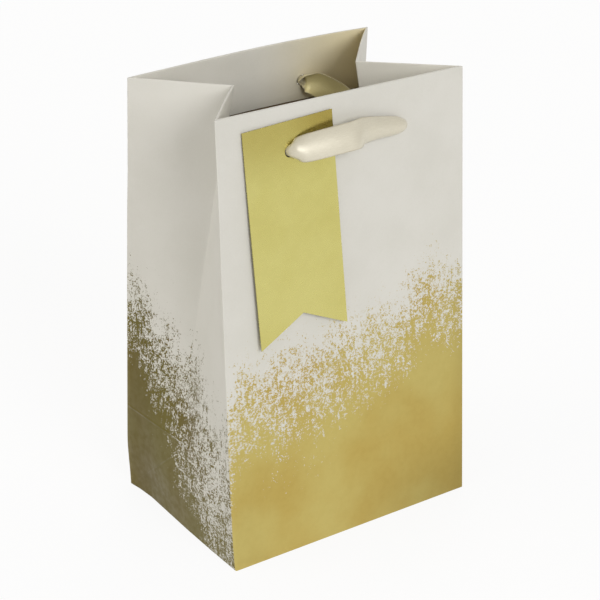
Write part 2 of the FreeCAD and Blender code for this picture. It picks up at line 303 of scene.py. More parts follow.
class BagSheet:
    """The bag: one sheet folded into four walls, with its top edge turned in round two stiff boards."""

    NODES = ("front_panel", "back_panel", "front_hem", "back_hem", "seam_flap",
             *(f"{hand}_gusset_{name}" for hand in ("left", "right")
               for name in ("foot", "front", "back", "corner_front", "corner_back")),
             *(f"{hand}_hem_{name}" for hand in ("left", "right") for name in ("front", "back")))

    def __init__(self, sizes: BagSizes, grid: SheetGrid = SheetGrid()) -> None:
        """Keep the sizes of the bag and of its grid."""
        self.sizes = sizes
        self.grid = grid
        half = sizes.foot / 2
        self.flat_sides = np.array([sizes.width, half, half, sizes.width, half, half])

    def corners(self, z: np.ndarray) -> np.ndarray:
        """Place the six folds at each height.

        The panels lean in evenly.  Each gusset's middle fold stands in slowly below the foot crease and then
        evenly up to the mouth.

        Args:
            z: Heights.

        Returns:
            An array of heights by six folds by x and y, from the front left fold round by the right.
        """
        s = self.sizes
        half = s.width / 2
        depth = s.foot / 2 - z * math.tan(s.lean)
        inset = np.interp(z, [0, s.crease, s.height], [0, s.crease_inset, s.mouth_inset])
        wall, none = half + 0 * z, 0 * z
        x = np.stack([-wall, wall, half - inset, wall, -wall, inset - half], 1)
        y = np.stack([-depth, -depth, none, depth, depth, none], 1)
        return np.stack([x, y], -1)

    def wall_thickness(self, z: np.ndarray) -> np.ndarray:
        """Find each wall's thickness: the turned-in edge is thicker, and thickens again past its first step.

        Args:
            z: Heights.

        Returns:
            An array of heights by six walls.
        """
        s = self.sizes
        hem_edge = s.height - s.hem
        layers = [hem_edge - 0.05 * MM, hem_edge + 0.05 * MM, hem_edge + 3.0 * MM]
        panel = np.interp(z, layers, [s.paper, s.panel_rim - 0.2 * MM, s.panel_rim])
        gusset = np.interp(z, layers[:2], [s.paper, s.gusset_rim])
        return np.stack([panel, gusset, gusset, panel, gusset, gusset], 1)

    @staticmethod
    def inner_corners(corners: np.ndarray, thickness: np.ndarray) -> np.ndarray:
        """Move every wall in by its thickness and find the folds again.

        Each inner fold is where the two moved walls cross.  At a gusset's middle fold both walls are equally
        thick, so it moves along their bisector, which also holds where the gusset is almost flat.

        Args:
            corners: The outer folds.
            thickness: The thickness of the wall that follows each fold.

        Returns:
            The inner folds, in the same order.
        """
        along = np.roll(corners, -1, 1) - corners
        along = along / np.linalg.norm(along, axis=-1, keepdims=True)
        inward = np.stack([-along[..., 1], along[..., 0]], -1)
        reach = np.sum(inward * corners, -1) + thickness
        last_inward, last_reach = np.roll(inward, 1, 1), np.roll(reach, 1, 1)
        cross = last_inward[..., 0] * inward[..., 1] - last_inward[..., 1] * inward[..., 0]
        cross = np.where(np.abs(cross) < 1e-6, 1e-6, cross)
        x = (last_reach * inward[..., 1] - reach * last_inward[..., 1]) / cross
        y = (reach * last_inward[..., 0] - last_reach * inward[..., 0]) / cross
        crossing = np.stack([x, y], -1)
        both = 1 + np.sum(last_inward * inward, -1, keepdims=True)
        bisector = corners + thickness[..., None] * (last_inward + inward) / both
        middle = np.array([False, False, True, False, False, True])[None, :, None]
        return np.where(middle, bisector, crossing)

    def stations(self) -> tuple:
        """Divide the way round the bag.

        Returns:
            For each column: the side it lies on, how far along that side, and how far into the fold at that
            side's start it lies, from -1 just before to 1 just after, or nothing in between folds.
        """
        counts = [self.grid.panel_columns, self.grid.gusset_columns, self.grid.gusset_columns] * 2
        side, along, fold = [], [], []
        for i, count in enumerate(counts):
            k = self.grid.fold_columns
            side += [np.full(k, i), np.full(count, i)]
            along += [np.zeros(k), np.linspace(0, 1, count + 2)[1:-1]]
            fold += [np.linspace(-1, 1, k), np.full(count, np.nan)]
        return np.concatenate(side), np.concatenate(along), np.concatenate(fold)

    def loop(self, corners: np.ndarray, fold: float) -> np.ndarray:
        """Trace the way round through rounded folds.

        Between folds the points are even.  In a fold they follow a parabola that leaves one wall a short way
        before the corner and meets the next wall the same way after it.

        Args:
            corners: The folds at each height.
            fold: How far from the corner each fold starts.

        Returns:
            The points, heights by columns by x and y.
        """
        side, along, into = self.stations()
        following = np.roll(corners, -1, 1)
        step = following - corners
        length = np.linalg.norm(step, axis=-1, keepdims=True)
        direction = step / length
        here, way, back = corners[:, side], direction[:, side], np.roll(direction, 1, 1)[:, side]
        reach = fold + along[None, :, None] * (length[:, side] - 2 * fold)
        straight = here + way * reach
        t = ((np.nan_to_num(into) + 1) / 2)[None, :, None]
        rounded = (here - back * fold) * (1 - t) ** 2 + here * 2 * t * (1 - t) + (here + way * fold) * t ** 2
        return np.where(np.isnan(into)[None, :, None], straight, rounded)

    def warp(self, points: np.ndarray) -> np.ndarray:
        """Relax the flat walls into the stance of a used bag.

        The back wall bows out towards the mouth, most right of its middle, and its right fold stands out
        with it.  The gussets' middle folds lean a little towards the front.  The left gusset stands out
        slightly and its foot tucks in, most near the back.  Below the stiff top every wall has slow waves
        of up to about half a millimetre, which die out at the floor.  Each shift is a product of a profile
        in height and a profile across the wall.  Inside, every length is in millimetres.

        Args:
            points: Points anywhere in the sheet, with x, y and z last.

        Returns:
            The moved points.
        """
        s = self.sizes
        x, y, z = points[..., 0] / MM, points[..., 1] / MM, points[..., 2] / MM
        half = s.width / MM / 2
        depth = s.foot / MM / 2 - z * math.tan(s.lean)
        inset = np.interp(z * MM, [0, s.crease, s.height], [0, s.crease_inset, s.mouth_inset]) / MM
        back = np.clip(y / depth, 0, 1) ** 1.5
        upper = smooth_step(60, 165, z)
        bow = np.interp(x, [-63, -56, -44, -30, -17, -4, 9, 22, 36, 48, 63],
                        [0.0, 0.7, 1.6, 2.8, 3.8, 4.6, 5.2, 5.3, 5.0, 4.4, 3.0])
        splay = 2.2 * smooth_step(5, 63, x)
        fold = 1 - np.clip(np.abs(y) / depth, 0, 1)
        left = smooth_step(20, 50, -x)
        right = smooth_step(20, 31, x)
        lean_left = np.interp(z, [50, 200], [0, 1])
        lean_right = np.interp(z, [80, 150, 187, 200], [0, 0.45, 1, 0.85])
        bulge = np.interp(z, [0, 4, 12, 30, 60, 100, 140, 158], [0, 0.25, 0.5, 0.6, 0.55, 0.5, 0.3, 0])
        tuck = np.interp(y, [-45.5, -25, -5, 7, 19, 28, 38, 45.5], [0, 0.3, 0.9, 1.5, 2.1, 2.6, 2.2, 1.2])
        tuck = tuck * smooth_step(10, 60, -x) * (1 - smooth_step(1.5, 26, z))
        gusset = 1 - smooth_step(0, 14, half - inset * fold - np.abs(x))
        free = smooth_step(0, 25, z) * (1 - smooth_step(130, 156, z))
        wave = 0.32 * np.sin(x / 21 + z / 34 + 0.6) + 0.24 * np.sin(x / 12.7 - z / 27 + 2.1)
        wave = wave * smooth_step(0, 14, half - np.abs(x)) * smooth_step(0.8, 1.0, np.abs(y) / depth)
        ripple = 0.35 * np.sin(y / 9.5 + z / 23 + 1.3) + 0.25 * np.sin(y / 6.1 - z / 31)
        ripple = ripple * gusset * smooth_step(0, 0.25, np.abs(y) / depth) * smooth_step(0, 0.25, fold)
        lean_left, lean_right = fold * left * lean_left, fold * right * lean_right
        moved = points.copy()
        moved[..., 0] += MM * (upper * back * splay + tuck - left * gusset * bulge
                               + free * ripple * np.sign(x) - 1.4 * lean_left - 2.6 * lean_right)
        moved[..., 1] += MM * (upper * back * bow + free * wave * np.sign(y)
                               - 0.7 * lean_left - 3.0 * lean_right)
        return moved

    def holes(self, side: Side) -> list:
        """Return the centre and the direction of a wall's two punched holes, left one first."""
        s = self.sizes
        centres = np.stack([s.wall_point(side, end.value * s.hole_spacing / 2, 0, 0) for end in End])
        return [(centre, s.outward(side)) for centre in self.warp(centres)]

    def rows(self) -> tuple:
        """List the rows: up the outside, over the mouth and down the inside.

        Over the mouth the depth into the wall and the height follow a squared-off half circle.

        Returns:
            Each row's height, and its depth into the wall from 0 outside to 1 inside.
        """
        s, g = self.sizes, self.grid
        low = s.height - g.rim_round
        hem_edge = s.height - s.hem
        outside = np.linspace(0, low, g.rows, endpoint=False)
        turn = np.linspace(0, np.pi, g.rim_rows)
        over = low + g.rim_round * np.abs(np.sin(turn)) ** 0.6
        depth = (1 - np.sign(np.cos(turn)) * np.abs(np.cos(turn)) ** 0.6) / 2
        edges = hem_edge + MM * np.array([3.0, 0.6, 0.12, 0.05, -0.05, -0.12])
        inside = np.linspace(0, low, g.rows, endpoint=False)[::-1]
        inside = inside[np.min(np.abs(inside[:, None] - edges[None, :]), 1) > 0.4 * MM]
        inside = np.sort(np.concatenate([inside, edges]))[::-1]
        heights = np.concatenate([outside, over, inside])
        depths = np.concatenate([0 * outside, depth, 0 * inside + 1])
        return heights, depths

    def build(self) -> bpy.types.Object:
        """Make the sheet with its punched holes.

        Returns:
            The sheet, closed, with flat coordinates and a mark that is 1 on the printed side.
        """
        s, g = self.sizes, self.grid
        z, depth = self.rows()
        outer = self.corners(z)
        inner = self.inner_corners(outer, self.wall_thickness(z))
        outside, inside = self.loop(outer, g.fold), self.loop(inner, 0.7 * g.fold)
        level = outside + depth[:, None, None] * (inside - outside)
        points = np.concatenate([level, np.broadcast_to(z[:, None, None], (*level.shape[:2], 1))], -1)
        side, along, into = self.stations()
        flap = (side == 0)[None, :] & (depth == 1)[:, None] & (points[..., 0] < -s.width / 2 + s.seam) \
            & (z < s.height - s.hem - 0.07 * MM)[:, None]
        points[..., 1] += np.where(flap, s.paper, 0)
        points = self.warp(points)
        starts = np.concatenate([[0], np.cumsum(self.flat_sides)])
        around = starts[side] + along * self.flat_sides[side] + np.nan_to_num(into) * g.fold
        around = np.append(around, around[0] + starts[-1])
        flat = np.stack(np.broadcast_arrays(around[None, :], np.append(z, 0)[:, None]), -1)
        rows, columns = points.shape[:2]
        faces = grid_quads(rows, columns, wrap_rows=True, wrap_columns=True)
        spread = grid_quads(rows + 1, columns + 1)
        printed = np.broadcast_to((depth < 0.5)[:, None], (rows, columns)).astype(float)
        sheet = build_object("bag_sheet", points, faces, marks={"printed": printed})
        layer = sheet.data.uv_layers.new(name="flat")
        layer.data.foreach_set("uv", flat.reshape(-1, 2)[spread.ravel()].ravel().astype(np.float32))
        punch(sheet, [hole for wall in Side for hole in self.holes(wall)], s.hole_radius, CUTTER)
        sheet.data.set_sharp_from_angle(angle=SHARP)
        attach(sheet, "bag")
        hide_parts(*self.NODES)
        return sheet


# ---- Ribbons -----------------------------------------------------


@dataclass(frozen=True)
class RibbonSizes:
    """A handle ribbon's sizes in metres."""

    width: float = 12 * MM
    thickness: float = 0.28 * MM
    samples: int = 720
    across: int = 25
    inner: float = 2.2 * MM


@dataclass(frozen=True)
class Station:
    """One place along a ribbon, in millimetres from the middle of its wall.

    The place is the middle of the ribbon's section.  Curl is the angle in radians through which the section
    bends from edge to edge, the three widths are the way from its lower edge to its upper one, and lip is how
    far the lower edge turns out.
    """

    x: float
    out: float
    up: float
    curl: float
    width_x: float = 0.0
    width_out: float = 0.0
    width_up: float = 1.0
    lip: float = 0.0


class FloorPiece:
    """A flat layer of the bottom: a glued flap or the loose base board."""

    def __init__(self, node: str, sheet: BagSheet) -> None:
        """Keep the layer's node and the sheet round it."""
        self.node = node
        self.sheet = sheet

    def build(self) -> bpy.types.Object:
        """Make the layer: a closed slab on a grid of two millimetres, which takes the sheet's stance.

        The outline of every row is the same rectangle, so the slab is a loop of top and bottom rows.

        Returns:
            The layer, riding the bag.
        """
        low, high = (np.array(corner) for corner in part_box(self.node))
        columns, rows = (int((high[i] - low[i]) / (2 * MM)) + 2 for i in (0, 1))
        x = np.linspace(low[0], high[0], columns)
        y = np.linspace(low[1], high[1], rows)
        top = np.stack(np.broadcast_arrays(x[None, :], y[:, None], high[2]), -1)
        foot = np.stack(np.broadcast_arrays(x[None, :], y[:, None], low[2]), -1)
        points = np.concatenate([top, foot[::-1]])
        faces = grid_quads(2 * rows, columns, wrap_rows=True)
        near = np.arange(rows - 1)
        under = 2 * rows - 1 - near
        sides = [np.stack([near, under, under - 1, near + 1], 1) * columns,
                 np.stack([near, near + 1, under - 1, under], 1) * columns + columns - 1]
        layer = build_object(f"{self.node}_layer", self.sheet.warp(points), np.concatenate([faces, *sides]))
        layer.data.set_sharp_from_angle(angle=SHARP)
        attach(layer, "bag")
        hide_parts(self.node)
        return layer


class TopBoard:
    """A stiff strip inside the turned-in top edge, which takes the wall's bow."""

    def __init__(self, side: Side, sheet: BagSheet) -> None:
        """Keep the wall and the sheet that holds the strip."""
        self.side = side
        self.sheet = sheet
        self.node = f"{side.name.lower()}_top_board"

    def build(self) -> bpy.types.Object:
        """Make the strip: a leaning grid of points through the middle of its thickness, bowed and thickened.

        Returns:
            The strip with its two holes, riding the bag.
        """
        bag = self.sheet.sizes
        low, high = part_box(self.node)
        top, foot = (high.z - bag.height + bag.hole_drop), (low.z - bag.height + bag.hole_drop)
        x = np.linspace(low.x, high.x, 60)[None, :]
        up = np.linspace(foot, top, 19)[:, None] / math.cos(bag.lean)
        base = bag.wall_point(self.side, 0, -bag.panel_rim / 2, 0)
        points = base + x[..., None] * np.array([1.0, 0, 0]) + up[..., None] * bag.upward(self.side)
        points = self.sheet.warp(points)
        faces = grid_quads(*points.shape[:2])
        faces = faces[:, ::-1] if self.side is Side.BACK else faces
        board = build_object(self.node.replace("top_board", "stiffener"), points, faces)
        thicken(board, bag.board)
        punch(board, self.sheet.holes(self.side), bag.hole_radius, CUTTER)
        board.data.set_sharp_from_angle(angle=SHARP)
        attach(board, "bag")
        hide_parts(self.node)
        return board


class HandleRibbon:
    """One satin ribbon: a knotted tail inside, out through a hole, across, in again, and a second tail."""

    def __init__(self, side: Side, sheet: BagSheet, sizes: RibbonSizes = RibbonSizes()) -> None:
        """Keep the wall that the ribbon hangs on and the sizes."""
        self.side = side
        self.sheet = sheet
        self.bag = sheet.sizes
        self.sizes = sizes
        self.name = side.name.lower()
        self.axis_out = 2.7 if side is Side.FRONT else 1.5

    def tail(self, end: End, turned: bool) -> list:
        """List a tail's stations from its cut end up to its hole.

        Args:
            end: Which hole the tail hangs from.
            turned: Whether the tail runs aside into the gusset before it drops.

        Returns:
            The stations in order.
        """
        sine, cosine = math.sin(self.bag.lean), math.cos(self.bag.lean)
        x, sign = end.value * self.bag.hole_spacing / 2 / MM, -end.value
        inner = -self.sizes.inner / MM

        def plumb(drop: float, curl: float, wide: tuple = (1.0, 0.0, 0.0), dx: float = 0, din: float = 0,
                  lip: float = 0) -> Station:
            """Return a station straight down from the hole's inner side."""
            return Station(x + dx, inner - din - drop * sine, -drop * cosine, curl,
                           sign * wide[0], sign * wide[1], sign * wide[2], lip)

        aside = (0.786, 0.618, 0.0)
        if turned:
            rows = [(95.5, 0.5, aside, 14, 11), (88, 1.2, aside, 14, 11), (81, 4.6, aside, 14, 11),
                    (76, 4.9, aside, 14, 11), (70, 3.2, aside, 14.2, 11.1), (60, 1.3, aside, 14.5, 11.4),
                    (44, 0.7, aside, 15.2, 11.6), (30, 0.6, aside, 16.2, 11.8),
                    (18, 0.9, (0.74, 0.58, -0.35), 18.4, 13.0, 0.8),
                    (12.0, 1.0, (0.50, 0.05, -0.86), 17.6, 12.6, 1.6),
                    (7.3, 1.0, (0.20, -0.20, -0.95), 13.6, 9.6, 2.2),
                    (3.7, 1.1, (0.1, -0.25, -0.95), 8.6, 6.2, 2.2),
                    (1.2, 1.6, (0.1, -0.2, -0.97), 4.4, 3.6, 1.2),
                    (-0.2, 2.4, (0.2, 0.1, -0.97), 1.4, 2.2), (-0.2, 4.6, (0.5, 0.0, -0.86), 0.2, 1.0),
                    (0.0, 5.9, (0.8, 0.0, -0.6), 0.0, 0.1)]
            return [plumb(*row) for row in rows]
        rows = [(88, 0.5, 0), (80.5, 1.2, 0), (74, 4.6, 0), (69, 4.9, 0), (63, 3.2, 0), (52, 1.3, 0),
                (36, 0.8, 0.5), (20, 0.9, 1.2), (11, 1.7, 2.0), (5, 3.4, 2.2), (1.4, 5.0, 1.2),
                (0.0, 5.9, -0.5)]
        return [plumb(drop, curl, din=din) for drop, curl, din in rows]

    def outside(self) -> list:
        """List the stations of the outside stretch, from the left hole to the right one.

        Each row holds x, out, up and curl, then how far the front ribbon's step back and its lean count.

        Returns:
            The stations in order.
        """
        reach = self.bag.hole_spacing / 2 / MM
        shift = self.axis_out - 2.7
        front = self.side is Side.FRONT
        step, lean = (0.9, -0.42) if front else (0.0, -0.15)
        rows = [(-reach + 0.5, 2.9, 0.5, 3.4, 0, 0.3), (-reach + 2.0, 4.2, 0.9, 2.3, 0, 0.7),
                (-24.0, 5.2, 1.2, 1.5, 0, 1), (-20, 6.1, 1.6, 1.1, 0, 1), (-13, 7.3, 2.2, 0.9, 0, 1),
                (-6, 8.2, 2.7, 0.85, 0, 1), (-0.5, 8.6, 3.0, 0.8, 0, 0.95), (3.5, 8.2, 3.1, 0.9, 0.7, 0.5),
                (7.0, 7.2, 2.8, 1.4, 1, 0.1), (13, 6.3, 2.1, 2.1, 1, 0), (18, 5.5, 1.4, 2.5, 1, 0),
                (22.5, 4.9, 0.9, 2.9, 0.6, 0), (reach - 2.6, 4.1, 0.7, 3.4, 0, 0),
                (reach - 0.6, 2.9, 0.5, 4.3, 0, 0)]
        middle = [Station(x, out - stepped * step + shift, up, curl, width_out=leaning * lean)
                  for x, out, up, curl, stepped, leaning in rows]
        first = [Station(-reach, 0.2, 0.2, 5.9), Station(-reach, 1.5, 0.3, 5.0)]
        return first + middle + [Station(reach, 1.5, 0.3, 5.0), Station(reach, 0.2, 0.2, 5.9)]

    def stations(self) -> list:
        """List every station from the left tail's cut end to the right tail's."""
        left = self.tail(End.LEFT, False)
        right = self.tail(End.RIGHT, self.side is Side.BACK)
        return left + self.outside() + right[::-1]

    def build(self) -> bpy.types.Object:
        """Make the ribbon.

        The section is an arc of the ribbon's width, centred on its own middle, with its lower edge turned out
        where the stretch has a lip.  Its plane is square to the line, and the frame at each sample comes from
        the line's direction and the width's.

        Returns:
            The ribbon, which follows the bag inside and the handle outside.
        """
        s = self.sizes
        knots = np.array([astuple(station) for station in self.stations()])
        dense = spline(knots, 6 * s.samples)
        steps = np.linalg.norm(np.diff(dense[:, :3], axis=0), axis=1)
        run = np.concatenate([[0], np.cumsum(steps)])
        even = np.linspace(0, run[-1], s.samples)
        line = np.stack([np.interp(even, run, dense[:, i]) for i in range(dense.shape[1])], 1)
        way = np.gradient(line[:, :3], axis=0)
        way = way / np.linalg.norm(way, axis=1, keepdims=True)
        wide = line[:, 4:7] - way * np.sum(line[:, 4:7] * way, 1, keepdims=True)
        wide = wide / np.linalg.norm(wide, axis=1, keepdims=True)
        face = np.cross(wide, way)
        curl = np.clip(line[:, 3], 0.05, 6.0)[:, None]
        radius = s.width / MM / curl
        w = np.linspace(-0.5, 0.5, s.across)[None, :] * s.width / MM
        middle = radius * (1 - np.sin(curl / 2) / (curl / 2))
        sideways = radius * np.sin(w / radius)
        forward = middle - radius * (1 - np.cos(w / radius))
        lip = line[:, 7][:, None] * np.clip((-w / 6 - 0.1) / 0.9, 0, 1) ** 1.8
        forward = forward + lip
        local = (line[:, None, :3] + wide[:, None, :] * sideways[..., None]
                 + face[:, None, :] * forward[..., None])
        base = self.bag.wall_point(self.side, 0, 0, 0)
        axes = np.stack([np.array([1.0, 0, 0]), self.bag.outward(self.side), self.bag.upward(self.side)])
        points = base + (local * MM) @ axes
        at_wall = base + (line[:, None, :3] * [1, 0, 0] * MM) @ axes
        hold = smooth_step(-30, -6, line[:, 2])[:, None, None]
        points = points + (self.sheet.warp(at_wall) - at_wall) * hold
        faces = grid_quads(*points.shape[:2])
        faces = faces[:, ::-1] if self.side is Side.FRONT else faces
        along = np.broadcast_to((even * MM)[:, None], points.shape[:2])
        across = np.broadcast_to(w * MM, points.shape[:2])
        ribbon = build_object(f"{self.name}_ribbon", points, faces, uv=np.stack([along, across], -1))
        thicken(ribbon, s.thickness, even=False)
        shift = self.sheet.warp(base[None])[0] - base
        start, end = (self.bag.wall_point(self.side, 0, out * MM, 0) + 0.75 * shift
                      for out in (0.0, self.axis_out))
        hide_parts(f"{self.name}_handle", f"{self.name}_left_tail", f"{self.name}_right_tail")
        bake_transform(ribbon)
        return ribbon


class RibbonKnot:
    """An overhand knot at the end of a ribbon's tail."""

    def __init__(self, side: Side, end: End) -> None:
        """Keep which tail the knot closes."""
        self.node = f"{side.name.lower()}_{end.name.lower()}_knot"
        self.turn = 0.4 * side.value + 0.7 * end.value

    def build(self) -> bpy.types.Object:
        """Make the knot.

        Its line is a closed trefoil, x = sin t + 2 sin 2t and z = cos t - 2 cos 2t with y = -sin 3t, so it
        passes over and under itself three times.  The section is a flattened oval with a soft furrow.

        Returns:
            The knot, riding the bag.
        """
        low, high = (np.array(corner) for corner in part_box(self.node))
        centre = np.array([(low[0] + high[0]) / 2, (low[1] + high[1]) / 2, high[2] - 4 * MM])
        length, round_count = 180, 28
        t = np.linspace(0, 2 * np.pi, length, endpoint=False)
        line = np.stack([np.sin(t) + 2 * np.sin(2 * t), -1.25 * np.sin(3 * t),
                         np.cos(t) - 2 * np.cos(2 * t)], 1) * np.array([0.92, 1.35, 1.0])
        way = np.roll(line, -1, 0) - np.roll(line, 1, 0)
        way = way / np.linalg.norm(way, axis=1, keepdims=True)
        radial = line - line.mean(0)
        radial = radial - way * np.sum(radial * way, 1, keepdims=True)
        radial = radial / np.linalg.norm(radial, axis=1, keepdims=True)
        side = np.cross(way, radial)
        angle = np.linspace(0, 2 * np.pi, round_count, endpoint=False)[None, :]
        furrow = 1 + 0.1 * np.cos(4 * angle + 3 * np.sin(2 * t)[:, None])
        wide, thick = 1.75 * np.cos(angle) * furrow, 0.95 * np.sin(angle) * furrow
        local = line[:, None] + side[:, None] * wide[..., None] + radial[:, None] * thick[..., None]
        sine, cosine = math.sin(self.turn), math.cos(self.turn)
        turn = np.array([[cosine, sine, 0], [-sine, cosine, 0], [0, 0, 1]])
        points = centre + (local * MM) @ turn
        faces = grid_quads(length, round_count, wrap_rows=True, wrap_columns=True)
        flat = np.stack(np.broadcast_arrays(t[:, None] * 6 * MM, angle * 2 * MM), -1)
        knot = build_object(self.node.replace("knot", "ribbon_knot"), points, faces, uv=flat)
        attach(knot, "bag")
        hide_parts(self.node)
        return knot


# ---- Gift tag ----------------------------------------------------


@dataclass(frozen=True)
class TagSizes:
    """The gift tag's sizes in metres and its angles in degrees."""

    width: float = 44 * MM
    length: float = 94 * MM
    notch: float = 11 * MM
    card: float = 0.4 * MM
    hole_drop: float = 12.7 * MM
    standoff: float = 0.8 * MM
    lean: float = 1.0
    turn: float = 2.4
    bow: float = 0.25 * MM
    columns: int = 45
    rows: int = 95


class GiftTag:
    """A foil card with a swallowtail end, hung on the front ribbon by one hole."""

    def __init__(self, bag: BagSizes, sizes: TagSizes = TagSizes()) -> None:
        """Keep the bag's sizes and the tag's."""
        self.bag = bag
        self.sizes = sizes

    def build(self) -> bpy.types.Object:
        """Make the card.

        Every column runs from the top edge down to the swallowtail, whose lower edge rises evenly to the
        middle.  The card bows out slightly across its width.

        Returns:
            The card, riding the tag.
        """
        s, bag = self.sizes, self.bag
        lean, turn = math.radians(s.lean), math.radians(s.turn)
        out, up = bag.outward(Side.FRONT), bag.upward(Side.FRONT)
        outward = out * math.cos(lean) + up * math.sin(lean)
        upward = up * math.cos(lean) - out * math.sin(lean)
        right = np.array([1.0, 0.0, 0.0])
        across = right * math.cos(turn) + upward * math.sin(turn)
        along = upward * math.cos(turn) - right * math.sin(turn)
        u = np.linspace(-1, 1, s.columns)[None, :]
        v = np.linspace(0, 1, s.rows)[:, None]
        low = s.hole_drop - s.length + s.notch * (1 - np.abs(u))
        x = u * s.width / 2 + 0 * v
        h = s.hole_drop + v * (low - s.hole_drop)
        bow = s.bow * (1 - u ** 2) * v + 0.35 * MM * v ** 2
        hole = bag.wall_point(Side.FRONT, -bag.hole_spacing / 2, s.standoff, 0)
        points = hole + x[..., None] * across + h[..., None] * along + bow[..., None] * outward
        faces = grid_quads(s.rows, s.columns)[:, ::-1]
        tag = build_object("foil_tag", points, faces, uv=np.stack([x, h], -1))
        thicken(tag, s.card, offset=1.0)
        punch(tag, [(hole, outward)], bag.hole_radius, 6 * MM)
        tag.data.set_sharp_from_angle(angle=SHARP)
        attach(tag, "tag")
        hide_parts("gift_tag")
        return tag


# ---- Materials ---------------------------------------------------


class Graph:
    """A small hand for wiring shader nodes."""

    def __init__(self, tree: bpy.types.NodeTree) -> None:
        """Start from a node tree."""
        self.tree = tree

    def add(self, kind: str, inputs: dict = None, **settings) -> bpy.types.Node:
        """Add a node.

        Args:
            kind: The node's type.
            inputs: A link source or a constant for each named or numbered input.
            **settings: Properties set on the node itself.

        Returns:
            The node.
        """
        node = self.tree.nodes.new(kind)
        for key, value in settings.items():
            setattr(node, key, value)
        for key, value in (inputs or {}).items():
            self.feed(node.inputs[key], value)
        return node

    def feed(self, socket: bpy.types.NodeSocket, value: object) -> None:
        """Link an output to a socket, or set the socket's constant."""
        if isinstance(value, bpy.types.NodeSocket):
            self.tree.links.new(value, socket)
        else:
            socket.default_value = value

    def math(self, operation: str, *values: object) -> bpy.types.NodeSocket:
        """Return the outcome of an operation on numbers."""
        return self.add("ShaderNodeMath", dict(enumerate(values)), operation=operation).outputs[0]

    def times(self, first: object, second: object) -> bpy.types.NodeSocket:
        """Return a product."""
        return self.math("MULTIPLY", first, second)

    def plus(self, first: object, second: object) -> bpy.types.NodeSocket:
        """Return a sum."""
        return self.math("ADD", first, second)

    def minus(self, first: object, second: object) -> bpy.types.NodeSocket:
        """Return a difference."""
        return self.math("SUBTRACT", first, second)

    def bump(self, height: object, strength: float, distance: float,
             normal: bpy.types.NodeSocket = None) -> bpy.types.NodeSocket:
        """Turn a height into a normal.

        Args:
            height: The height's source.
            strength: Share of the effect from 0 to 1.
            distance: How far the full height lifts the surface, in metres.
            normal: A normal that the height is laid over, or nothing.

        Returns:
            The new normal.
        """
        inputs = {"Height": height, "Strength": strength, "Distance": distance}
        if normal is not None:
            inputs["Normal"] = normal
        return self.add("ShaderNodeBump", inputs).outputs[0]

    def ramp(self, value: object, low: float, high: float, to_low: float = 0.0,
             to_high: float = 1.0) -> bpy.types.NodeSocket:
        """Return a smooth clamped rise from one value to another."""
        node = self.add("ShaderNodeMapRange", {0: value, 1: low, 2: high, 3: to_low, 4: to_high},
                        interpolation_type="SMOOTHSTEP")
        return node.outputs[0]

    def mix(self, factor: object, first: object, second: object, blend: str = "MIX") -> bpy.types.NodeSocket:
        """Return a mix of two colours."""
        node = self.add("ShaderNodeMix", {0: factor, 6: first, 7: second}, data_type="RGBA", blend_type=blend)
        return node.outputs[2]

    def curve(self, value: object, points: list) -> bpy.types.NodeSocket:
        """Read a value off a smooth curve.

        Args:
            value: The source, from 0 to 1.
            points: The curve's points, each across and up from 0 to 1.

        Returns:
            The height of the curve at the value.
        """
        node = self.add("ShaderNodeFloatCurve", {1: value})
        line = node.mapping.curves[0]
        while len(line.points) < len(points):
            line.points.new(0.5, 0.5)
        for point, place in zip(line.points, points):
            point.location = place
        node.mapping.update()
        return node.outputs[0]

    def noise(self, vector: object, scale: float, detail: float = 3.0, roughness: float = 0.55,
              distortion: float = 0.0) -> bpy.types.NodeSocket:
        """Return soft noise from 0 to 1."""
        node = self.add("ShaderNodeTexNoise", {"Vector": vector, "Scale": scale, "Detail": detail,
                                               "Roughness": roughness, "Distortion": distortion})
        return node.outputs[0]

    def place(self, vector: object, scale: tuple, shift: tuple = (0, 0, 0),
              turn: float = 0.0) -> bpy.types.NodeSocket:
        """Return scaled, turned and shifted coordinates."""
        node = self.add("ShaderNodeMapping", {0: vector, 1: shift, 2: (0, 0, turn), 3: scale})
        return node.outputs[0]


def node_group(name: str, inputs: dict, outputs: list) -> tuple:
    """Start a shader node group.

    Args:
        name: The group's name.
        inputs: Socket type for each input.
        outputs: Names of the number outputs.

    Returns:
        The group's tree, its graph, the input node's outputs and the output node's inputs.
    """
    tree = bpy.data.node_groups.new(name, "ShaderNodeTree")
    for label, kind in inputs.items():
        tree.interface.new_socket(label, in_out="INPUT", socket_type=kind)
    for label in outputs:
        tree.interface.new_socket(label, in_out="OUTPUT", socket_type="NodeSocketFloat")
    graph = Graph(tree)
    return tree, graph, graph.add("NodeGroupInput").outputs, graph.add("NodeGroupOutput").inputs


def paper_grain() -> bpy.types.NodeTree:
    """Return the group for uncoated paper: a fine tooth, loose fibres and slow cloudiness."""
    tree, g, given, result = node_group("paper_grain", {"Place": "NodeSocketVector"}, ["Height", "Tone"])
    place = given["Place"]
    tooth = g.noise(place, 1900, 4, 0.6)
    fibre = g.noise(g.place(place, (700, 2600, 700), turn=0.5), 1, 2, 0.5, 1.5)
    other = g.noise(g.place(place, (2400, 800, 1700), turn=-0.4), 1, 2, 0.5, 1.2)
    cloud = g.noise(place, 45, 3, 0.5)
    fibres = g.times(g.plus(fibre, other), 0.5)
    g.feed(result["Height"], g.plus(g.times(tooth, 0.5), g.times(fibres, 0.5)))
    tone = g.plus(g.times(cloud, 0.6), g.times(fibres, 0.4))
    g.feed(result["Tone"], tone)
    return tree


